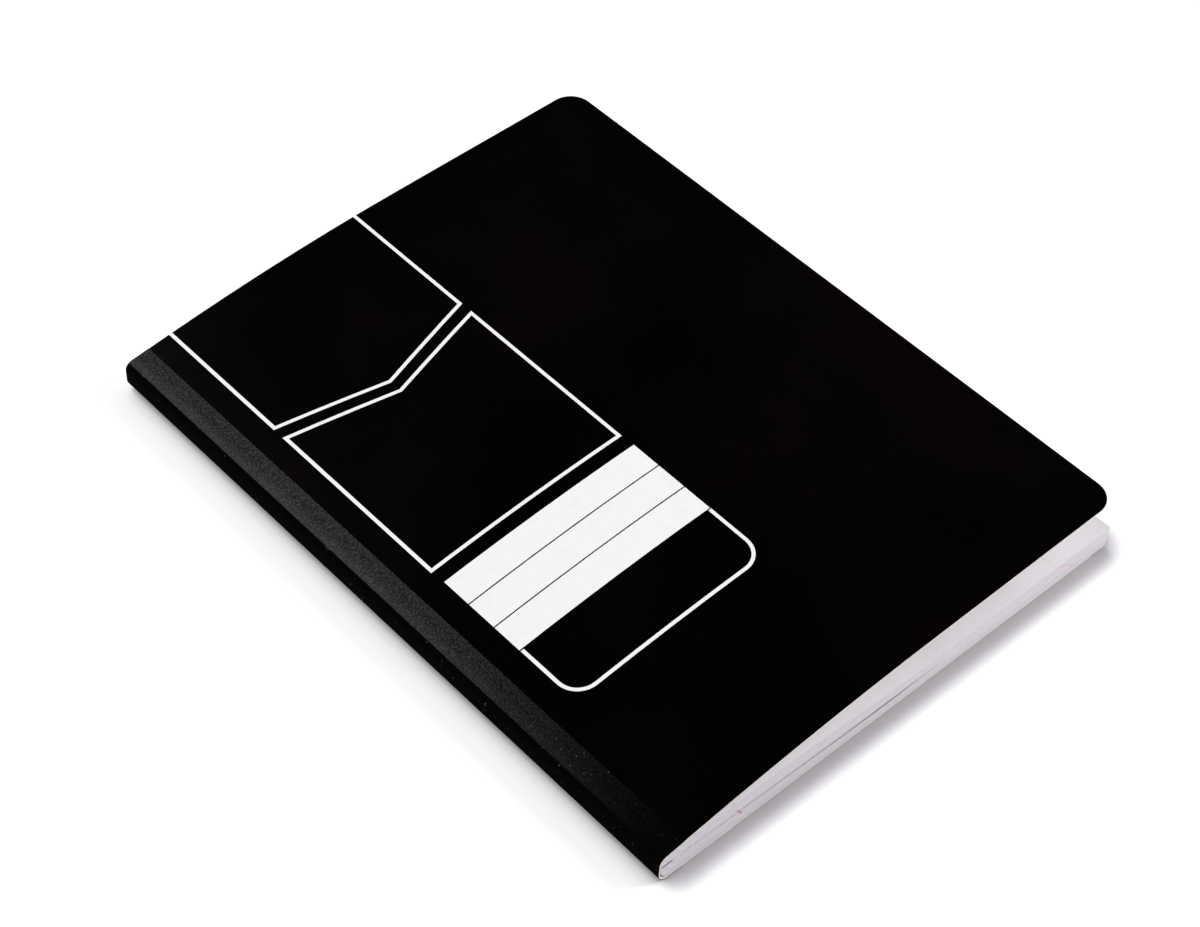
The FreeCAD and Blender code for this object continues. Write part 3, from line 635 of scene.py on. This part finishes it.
# Sheets: the folded block, with the edges of its leaves on three sides and ruling on the first page
sheets = {
    "paper": rgb(0.87, 0.845, 0.88),
    "edgePale": rgb(0.78, 0.75, 0.785),
    "edgeDark": rgb(0.54, 0.51, 0.555),
    "gapShade": rgb(0.16, 0.13, 0.19),
    "red": rgb(0.26, 0.03, 0.06),
    "pink": rgb(0.75, 0.50, 0.50),
    "blue": rgb(0.52, 0.64, 0.80),
    "rough": 0.88,
    "shine": 0.15,
    # the block's top, and the middle page between its upper and lower leaves: across, height
    "top": (
        (0.87, 9.6), (3, 11.3), (8, 11.75), (20, 12.05), (40, 12.2), (58, 11.9), (77.5, 10.65),
        (96, 9.45), (115, 9.1), (150, 9.1), (190.5, 9.1),
    ),
    "middle": ((0, 7.1), (5, 7.0), (30, 6.27), (58, 5.43), (86, 4.6), (110, 4.62), (190.5, 4.8)),
    "bottom": 0.55,
    "span": 15.0,
    "foldStart": 9.0,
    "foldSide": 0.87,
    "leaves": 50,
    "leafDrift": 0.02,  # how fast the pattern of a leaf's edge changes along the leaf
    "bundleScale": 0.22,  # this scale and the next two are for each leaf
    "lineScale": 1.1,
    "streakScale": 0.6,
    "mottleScale": 700,
    "fleckScale": 1300,
    "cloudScale": 45,
    "grainScale": 1500,
    "grain": 0.12,  # the page's relief, against that of the edges
    # painted shade on the trimmed edges towards the fold: its strength, and where it ends
    "pressed": 0.4,
    "pressedEnd": (90, 90),
    # marks on the edges: middle, half and softness of each band, across it and along it;
    # where a name ends in End or Top, the place and its softness
    "gap": (0, 0.4, 0.22),
    "gapEnd": (105, 18),
    "tick": ((0, 0.36, 0.16), (-0.2, 1.3, 0.3)),
    "blush": ((0, 1.3, 0.8), (0, 0.9, 0.5)),
    "smear": ((27.7, 1.2, 0.7), (-3.3, 0.7, 0.4)),
    "arm": ((0, 0.38, 0.25), (170.4, 4.0, 0.6)),
    "barb": ((0, 0.38, 0.25), (172, 2.6, 0.5)),
    "tickLine": (30.9, 0.7),  # where it crosses the middle page, and its slant
    "armLine": (166, 9.1, -0.644),  # across, height and slope
    "barbLine": (174.7, 3.5, 0.3),
    "fleckEnd": (14, 3),
    "fleckTop": (6, 1),
    "rulePitch": 7.1,
    "ruleWidth": 0.22,
    "firstRule": 227.0,
    "lastRule": 13.0,
    "margin": (28.4, 0.14, 0.06),
    "farMargin": (165.2, 0.22, 0.15),
    "relief": 0.12,
}


def makePaperMaterial():
    recipe = newRecipe("ruled_paper")
    x, y, z = recipe.parts("Object")
    across = x * 1000 + book["width"] / 2
    along = y * 1000 + book["height"] / 2
    level = z * 1000
    spot = recipe.stretched()
    onEdge = recipe.trimmed()

    def profile(name):
        span = sheets["span"]
        points = [(place / book["width"], height / span) for place, height in sheets[name]]
        values = {"Value": across / book["width"]}
        return recipe.node("ShaderNodeFloatCurve", {"points": points}, values) * span

    def mark(name, crossing, length):
        width, reach = sheets[name]
        return crossing.band(*width) * length.band(*reach)

    def above(name):
        start, height, slope = sheets[name]
        return level - height - slope * (across - start)

    # the number of the leaf that a point lies on, counted from the middle page
    middle = profile("middle")
    offMiddle = level - middle
    upper = offMiddle / (profile("top") - middle)
    lower = (middle - level) / (middle - sheets["bottom"])
    turning = (sheets["foldStart"] - across) / (sheets["foldStart"] - sheets["foldSide"])
    turning = turning.most(0)
    share = upper.most(lower)
    leaf = (share * share + turning * turning).root() * sheets["leaves"]
    drift = {0: leaf, 1: across * sheets["leafDrift"], 2: along * sheets["leafDrift"]}
    leafPlace = recipe.node("ShaderNodeCombineXYZ", {}, drift)

    # the trimmed edges: leaves in bundles, with painted shade darker towards the fold
    bundles = recipe.noise(leafPlace, sheets["bundleScale"], 4, 0.65)
    lines = recipe.noise(leafPlace, sheets["lineScale"], 2, 0.6)
    pressed = (1 - across.over(*sheets["pressedEnd"])) * sheets["pressed"]
    mottle = recipe.noise(recipe.stretched((1, 1, 4)), sheets["mottleScale"], 3)
    dark = bundles.over(0.55, 0.2) * 0.55 + lines.over(0.6, 0.2) * 0.25
    dark = (dark + mottle.over(0.55, 0.12) * 0.25 + pressed).least(1)
    edge = recipe.blend(dark, sheets["edgePale"], sheets["edgeDark"])
    # painted shade: a dark band on the trimmed edges along the gap between the middle pages, fading
    # out away from the fold
    gap = offMiddle.band(*sheets["gap"]) * (1 - across.over(*sheets["gapEnd"])) * onEdge
    edge = recipe.blend(gap, edge, sheets["gapShade"])

    # ends of the printed margin lines, smeared by the trimming knife
    tickPlace, tickSlant = sheets["tickLine"]
    slanted = across + tickSlant * offMiddle - tickPlace
    streak = recipe.noise(leafPlace, sheets["streakScale"], 3, 0.7).over(0.5, 0.15)
    strokes = mark("arm", above("armLine"), across) + mark("barb", above("barbLine"), across)
    pinkest = mark("smear", across, offMiddle) + mark("blush", slanted, offMiddle) * 0.7
    pinkest = (pinkest + strokes * (0.5 + 0.5 * streak)).least(1)
    edge = recipe.blend(pinkest * 0.85, edge, sheets["pink"])
    edge = recipe.blend(mark("tick", slanted, offMiddle) * 0.9, edge, sheets["red"])
    fleck = recipe.noise(spot, sheets["fleckScale"], 1).over(0.7, 0.04)
    fleck = fleck * (1 - across.over(*sheets["fleckEnd"])) * (1 - level.over(*sheets["fleckTop"]))
    edge = recipe.blend(fleck * 0.7, edge, sheets["blue"])

    # the first page: rules and margin lines
    cloud = recipe.noise(spot, sheets["cloudScale"], 3).over(0.6, 0.2)
    page = recipe.blend(cloud * 0.3, sheets["paper"], sheets["edgePale"])
    count = (along - sheets["lastRule"]) / sheets["rulePitch"]
    offRule = abs(recipe.maths("FRACT", count + 0.5) - 0.5) * sheets["rulePitch"]
    ruled = (1 - offRule.over(sheets["ruleWidth"] / 2, 0.06)) * 0.75
    ruled = ruled * along.over(sheets["lastRule"] - 1, 0.2)
    ruled = ruled * (1 - along.over(sheets["firstRule"] + 1, 0.2))
    page = recipe.blend(ruled, page, sheets["blue"])
    margins = across.band(*sheets["margin"]) + 0.4 * across.band(*sheets["farMargin"])
    page = recipe.blend(margins.least(1) * 0.8, page, sheets["pink"])

    grain = recipe.noise(spot, sheets["grainScale"], 4, 0.65)
    height = onEdge * (bundles * 0.7 + lines * 0.3) + (1 - onEdge) * grain * sheets["grain"]
    normal = recipe.bump(height, sheets["relief"], 0.8)
    colour = recipe.blend(onEdge, page, edge)
    return recipe.finish(colour, sheets["rough"], normal, Specular_IOR_Level=sheets["shine"])


def makeSheets():
    block = copyOfNode("page_block", "folded_sheets")
    smooth(block, book["coverSmooth"])
    dress(block, makePaperMaterial())
    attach(block, "book_block")
    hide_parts("page_block")


makeSheets()
print("sheets made")


# Thread: a two-ply twist
thread = {
    "colour": rgb(0.74, 0.72, 0.67),
    "shade": rgb(0.42, 0.40, 0.36),
    "twist": 1600,
    "fuzzScale": 6000,
    "rough": 0.8,
    "shine": 0.2,
    "relief": 0.05,
}


def makeThreadMaterial():
    recipe = newRecipe("sewing_thread")
    x, y, z = recipe.parts("Object")
    slant = (x + y + z) * thread["twist"] * 2 * math.pi
    ply = recipe.maths("SINE", slant) * 0.5 + 0.5
    fuzz = recipe.noise(recipe.stretched(), thread["fuzzScale"], 2)
    # painted shade: darker in the grooves between the plies, where the relief is low
    colour = recipe.blend(ply * 0.6 + fuzz * 0.2, thread["colour"], thread["shade"])
    normal = recipe.bump(1 - ply, thread["relief"], 0.8)
    return recipe.finish(colour, thread["rough"], normal, Specular_IOR_Level=thread["shine"])


dress(frame["nodes"]["sewing_thread"], makeThreadMaterial())
print("thread dressed")


# Studio: a pale table with a painted contact shadow, and three soft lamps in a light tent, with a
# dark card where the cover would mirror the tent
studio = {
    "table": 3.0,
    "tableDrop": 0.2,  # so that the outside of a back cover that is turned out stays above it
    "tableGlow": 0.40,
    "farGlow": 0.2,  # added where the lamps no longer reach
    "farFrom": 0.7,  # metres
    "farSoft": 0.3,
    "tableColour": rgb(0.78, 0.765, 0.79),
    "tableShade": rgb(0.45, 0.435, 0.455),
    "tableRough": 0.9,
    "tableUneven": 0.05,
    "grainScale": 60,
    "contactReach": 0.01,
    "contactStep": (0.73, 0.27),
    "contactLean": (-0.42, 0.58, 0.7),  # so that the shade gathers at the tail and the fore edge
    "lamps": {
        "backLamp": {"azimuth": 98, "elevation": 48, "distance": 1.6, "size": 0.45, "power": 3},
        "spineLamp": {"azimuth": 175, "elevation": 48, "distance": 1.6, "size": 0.35, "power": 6},
        "foreLamp": {"azimuth": -35, "elevation": 33, "distance": 1.6, "size": 0.6, "power": 13},
    },
    "tent": ((0.0, 1.85), (0.3, 1.35), (0.6, 0.48), (1.0, 0.83)),  # by the height of a direction
    "frontWall": {"full": -0.8, "end": 0.1, "left": 0.6},  # left: of the tent's light
    "darkCard": {"azimuth": 55, "elevation": 55, "inner": 28, "outer": 42, "left": 0.02},
}


def direction(azimuth, elevation):
    across, rise = math.radians(azimuth), math.radians(elevation)
    level = math.cos(rise)
    return Vector((math.cos(across) * level, math.sin(across) * level, math.sin(rise)))


def makeTable():
    level = -studio["tableDrop"] / 1000
    bpy.ops.mesh.primitive_plane_add(size=studio["table"], location=(0, 0, level))
    table = bpy.context.object
    table.name = "table"
    bpy.ops.object.transform_apply(location=True, rotation=True, scale=True)
    recipe = newRecipe("table")
    # painted contact shadow: ambient occlusion near the book, leaning towards the tail and the fore
    # edge, darkens the table's colour towards its shade colour and dims its glow
    lean = recipe.node("ShaderNodeCombineXYZ", {}, dict(enumerate(studio["contactLean"])))
    reach = {"Distance": studio["contactReach"], "Normal": lean}
    openness = recipe.node("ShaderNodeAmbientOcclusion", {"samples": 16}, reach, 1)
    openness = openness.over(*studio["contactStep"])
    cloth = recipe.blend(openness, studio["tableShade"], studio["tableColour"])
    rays = recipe.tree.nodes.new("ShaderNodeLightPath")
    seen = Value(recipe, rays.outputs["Is Camera Ray"])
    for kind in ("Is Glossy Ray", "Is Transmission Ray"):
        seen = seen.most(Value(recipe, rays.outputs[kind]))
    x, y, _ = recipe.parts("Object")
    far = (x * x + y * y).root().over(studio["farFrom"], studio["farSoft"])
    glow = seen * openness * (studio["tableGlow"] + studio["farGlow"] * far)
    grain = recipe.noise(recipe.stretched(), studio["grainScale"], 3)
    rough = studio["tableRough"] + studio["tableUneven"] * grain
    recipe.finish(cloth, rough, Specular_IOR_Level=0.0, Emission_Color=glow, Emission_Strength=1.0)
    dress(table, recipe.owner)


def makeLamps():
    for name, sizes in studio["lamps"].items():
        toward = direction(sizes["azimuth"], sizes["elevation"])
        bpy.ops.object.light_add(type="AREA")
        lamp = bpy.context.object
        lamp.name = name
        lamp.data.shape = "DISK"
        lamp.data.size = sizes["size"]
        lamp.data.energy = sizes["power"]
        turn = toward.to_track_quat("Z", "Y").to_matrix().to_4x4()
        lamp.matrix_world = Matrix.Translation(toward * sizes["distance"]) @ turn


def makeTent():
    world = bpy.data.worlds.new("tent")
    bpy.context.scene.world = world
    recipe = Recipe(world)
    _, y, z = recipe.parts("Generated")
    tone = recipe.node("ShaderNodeValToRGB", {"stops": studio["tent"]}, {0: z})
    wall, patch = studio["frontWall"], studio["darkCard"]
    frontSizes = {
        "Value": y, "From Min": wall["full"], "From Max": wall["end"], "To Min": wall["left"],
    }
    front = recipe.node("ShaderNodeMapRange", {}, frontSizes)
    toward = {0: recipe.vector("Generated"), 1: direction(patch["azimuth"], patch["elevation"])}
    nearness = recipe.node("ShaderNodeVectorMath", {"operation": "DOT_PRODUCT"}, toward, "Value")
    patchSizes = {
        "Value": nearness,
        "From Min": math.cos(math.radians(patch["outer"])),
        "From Max": math.cos(math.radians(patch["inner"])),
        "To Min": 1,
        "To Max": patch["left"],
    }
    clear = recipe.node("ShaderNodeMapRange", {"interpolation_type": "SMOOTHSTEP"}, patchSizes)
    background = recipe.tree.nodes["Background"]
    recipe.plug(background.inputs["Color"], tone)
    recipe.plug(background.inputs["Strength"], clear * front)


makeTable()
makeLamps()
makeTent()
bpy.context.scene.view_settings.view_transform = "Standard"
print("studio lit")
